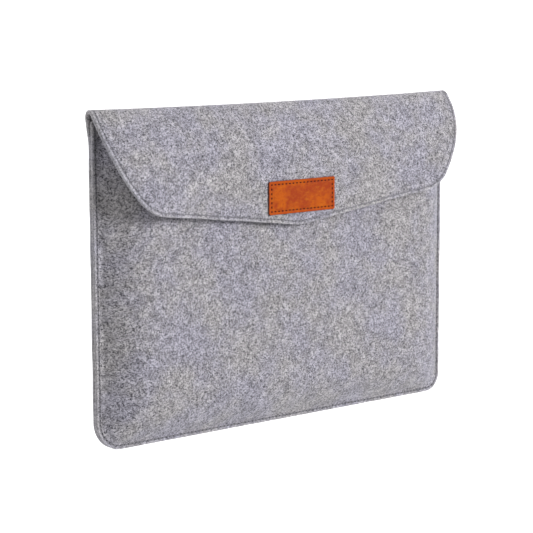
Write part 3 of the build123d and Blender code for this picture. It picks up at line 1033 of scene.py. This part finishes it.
def patch_dents(flat, edge):
    """Needle holes, and the shallow furrow that the thread pulls between them."""
    depth, width = PATCH_FURROW
    furrow = depth * hump(edge - PATCH_ROW, width)
    return furrow + HOLE_DEPTH * ease(1 - (from_hole(flat) - HOLE_FLOOR) / HOLE_RADIUS), np.zeros(len(flat))


turns = np.linspace(0, 2 * math.pi, 9)[:-1]
circle = np.stack([np.cos(turns), np.sin(turns)], axis=1)
around_holes = np.vstack([patch_holes] + [
    (patch_holes[:, None] + circle * radius).reshape(-1, 2) for radius in HOLE_RINGS
])
patch_outline = rectangle(patch_high[0], patch_low[2], patch_high[2], PATCH_ROUNDING)
patch_cut = wobbled(cut_line(patch_outline, 0.9), PATCH_WOBBLE, 31)
patch_mesh, patch_flat = sheet_mesh(
    "leather_patch", patch_cut, patch_surface, patch_thickness, PATCH_RIM, PATCH_RINGS, 1.3, patch_dents,
    around_holes,
)
leather = new_piece("tan_leather_patch", patch_mesh, LEATHER, LEATHER_EDGE)
# Painted shadow in each needle hole, darkest at its middle.
painted_hole_shade = ease(HOLE_SHADE - from_hole(patch_flat) / HOLE_RADIUS)
set_points(patch_mesh, "painted_hole_shadow", np.concatenate([painted_hole_shade, np.zeros(len(painted_hole_shade))]))
from_edge = np.zeros(len(patch_mesh.vertices), np.float32)
patch_mesh.attributes["edge"].data.foreach_get("value", from_edge)
for face in patch_mesh.polygons:
    if all(from_edge[corner] < EDGE_FACES for corner in face.vertices):
        face.material_index = 1


def flat_rows(rows, depth, side):
    """Rows on an upright plane at that depth, facing forward (1) or back (-1)."""
    placed = []
    for row in rows:
        points = np.stack([row[:, 0], np.full(len(row), SEAM_Y - depth), row[:, 1]], axis=1)
        placed.append((points, np.tile((0.0, -side, 0.0), (len(row), 1)), len(row) - 1))
    return placed


patch_face = SEAM_Y - patch_low[1]
patch_sewing = sewn_rows(
    "patch_stitches", flat_rows(centred_rows(patch_rows), patch_face - THREAD_BED, 1), PATCH_THREAD,
    thread=0.9, share=0.5, arch=0.1, sink=0.4,
)

# --- Touch fastener ----------------------------------------------------------------
TAPE_BASE = 0.6             # woven ground of each tape
TAPE_RIM = 0.2
TAPE_RINGS = (0.1, 0.2, 0.8, 1.4, 2.0, 2.6, 3.4)
TAPE_ROW = 2.0
TAPE_FURROW = (0.2, 0.6)    # depth and width
TAPE_STITCHES = (18, 6)
TAPE_MARGIN = 1.6           # no hooks or loops this near the tape's edge
PILE_ROOT = 0.05            # they start this far inside the ground


def tape(name, low, high, side, finish, pile):
    """A woven tape with its pile; side is 1 where the pile faces forward and -1 where it faces back."""
    ground = SEAM_Y - (high[1] if side == 1 else low[1])
    line = cut_line(rectangle(high[0], low[2], high[2], PATCH_ROUNDING), 1.2)
    rows = ring_rows(high[0] - TAPE_ROW, low[2] + TAPE_ROW, high[2] - TAPE_ROW, *TAPE_STITCHES)

    def dents(flat, edge):
        depth, width = TAPE_FURROW
        furrow, none = depth * hump(edge - TAPE_ROW, width), np.zeros(len(flat))
        return (furrow, none) if side == 1 else (none, furrow)

    plane = upright_plane(ground + side * TAPE_BASE / 2)
    mesh, _ = sheet_mesh(name + "_base", line, plane, TAPE_BASE, TAPE_RIM, TAPE_RINGS, 3.0, dents)
    root = SEAM_Y - ground - side * (TAPE_BASE - PILE_ROOT)
    width, height = 2 * (high[0] - TAPE_MARGIN), high[2] - low[2] - 2 * TAPE_MARGIN
    mesh = grown(mesh, PILE, Place=(0.0, root * MM, (low[2] + high[2]) / 2 * MM),
                 Facing=(side * math.pi / 2, 0.0, 0.0), Width=width * MM, Height=height * MM,
                 Finish=finish, **pile)
    mesh.name = name
    return new_piece(name, mesh), rows, ground + side * TAPE_BASE


hook_height = (hook_high[1] - hook_low[1] - TAPE_BASE) * MM
loop_height = (loop_high[1] - loop_low[1] - TAPE_BASE) * MM
hooks = {
    "Across": 48, "Up": 17, "Strand": 0.2 * MM, "Rise": hook_height, "Bend": 0.55 * MM,
    "Tip": hook_height * 0.45, "Turn": 0.25, "Scatter": 0.06 * MM, "Seed": 41,
}
loops = {
    "Across": 74, "Up": 26, "Strand": 0.12 * MM, "Rise": loop_height, "Bend": 0.8 * MM, "Tip": 0.0,
    "Turn": math.pi, "Scatter": 0.4 * MM, "Seed": 43,
}
hook_piece, _, hook_face = tape("hook_tape_sewn", hook_low, hook_high, -1, HOOK_NYLON, hooks)
loop_piece, loop_rows, loop_face = tape("loop_tape_sewn", loop_low, loop_high, 1, LOOP_NYLON, loops)
patch_sewing_inside = sewn_rows("patch_stitches_inside", flat_rows(patch_rows, hook_face, -1), PATCH_THREAD,
                                thread=0.62, share=0.85, arch=0.2, sink=0.3)
loop_sewing = sewn_rows("loop_tape_stitches", flat_rows(loop_rows, loop_face - 0.15, 1), FELT_THREAD,
                        thread=0.6, share=0.85, arch=0.25, sink=0.3)


# --- Floor, light and sky ----------------------------------------------------------
# Soft light from the room: where each lobe comes from, and how strong it is there.
ROOM_LIGHT = (
    ((0, 0, 1), 0.65),              # above
    ((-0.6, 0.8, 0), 0.9),          # behind, on the left
    ((0.2, -0.55, -0.8), 1.0),      # the floor in front
    ((0.2, 0.9, 0.2), 0.8),         # behind
)
ROOM_GLOW = 0.02                    # and from everywhere
FLOOR_HALF = 30000.0


def soft_studio():
    """A pale floor in a white room, with a broad lamp in front on the right. The camera sees the
    room white, whatever light its walls give."""
    corners = [(-1, -1, 0), (1, -1, 0), (1, 1, 0), (-1, 1, 0)]
    floor = new_piece("floor", new_mesh("floor", np.array(corners) * FLOOR_HALF, [(0, 1, 2, 3)]))
    material, tree, shader = new_material("studio_floor_matt_white")
    fill(tree, shader, {
        "Base Color": linear("#DADADA"), "Roughness": 1.0, "Specular IOR Level": 0.0,
        "Emission Color": linear("#FFFFFF"), "Emission Strength": 0.8,
    })
    floor.data.materials.append(material)
    floor.visible_diffuse = False       # the room's light from below stands in for its bounce

    world = bpy.data.worlds.new("studio_room")
    bpy.context.scene.world = world
    world.use_nodes = True
    tree = world.node_tree
    sky = next(item for item in tree.nodes if item.type == "BACKGROUND")
    place = add_node(tree, "ShaderNodeTexCoord").outputs["Generated"]
    glow = ROOM_GLOW
    for direction, gain in ROOM_LIGHT:
        toward = add_node(tree, "ShaderNodeVectorMath", {0: place, 1: direction}, operation="DOT_PRODUCT")
        toward = add_node(tree, "ShaderNodeMath", {0: toward.outputs["Value"], 1: 0.0}, operation="MAXIMUM")
        glow = add_node(tree, "ShaderNodeMath", {0: toward, 1: gain, 2: glow}, operation="MULTIPLY_ADD")
    seen = add_node(tree, "ShaderNodeLightPath").outputs["Is Camera Ray"]
    shown = add_node(tree, "ShaderNodeMath", {0: glow, 1: seen}, operation="MAXIMUM")
    fill(tree, sky, {"Color": linear("#FFFFFF"), "Strength": shown})

    data = bpy.data.lights.new("broad_lamp", "AREA")
    data.shape = "DISK"
    data.size = 1.2
    data.energy = 88.0
    lamp = bpy.data.objects.new("broad_lamp", data)
    bpy.context.scene.collection.objects.link(lamp)
    lamp.location = (1.35, -2.5, 1.1)
    aim = Vector((0, 0, 0.12)) - lamp.location
    lamp.rotation_euler = aim.to_track_quat("-Z", "Y").to_euler()
    bpy.context.scene.view_settings.view_transform = "Standard"


soft_studio()

# --- What each piece rides on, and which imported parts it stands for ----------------
for piece in (felt_main, flap_outside, flap_inside):
    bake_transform(piece)
for piece in (felt_front, seam_front, seam_back, loop_piece, loop_sewing):
    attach(piece, "pocket")
for piece in (leather, patch_sewing, hook_piece, patch_sewing_inside):
    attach(piece, "flap")

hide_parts("back_panel", "fold", "flap")
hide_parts("front_panel")
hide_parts("leather_patch")
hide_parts("patch_thread")
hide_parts("seam_thread_front")
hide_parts("seam_thread_back")
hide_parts("flap_thread_front")
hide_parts("flap_thread_back")
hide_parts("hook_tape")
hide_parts("loop_tape")
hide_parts("loop_tape_thread")
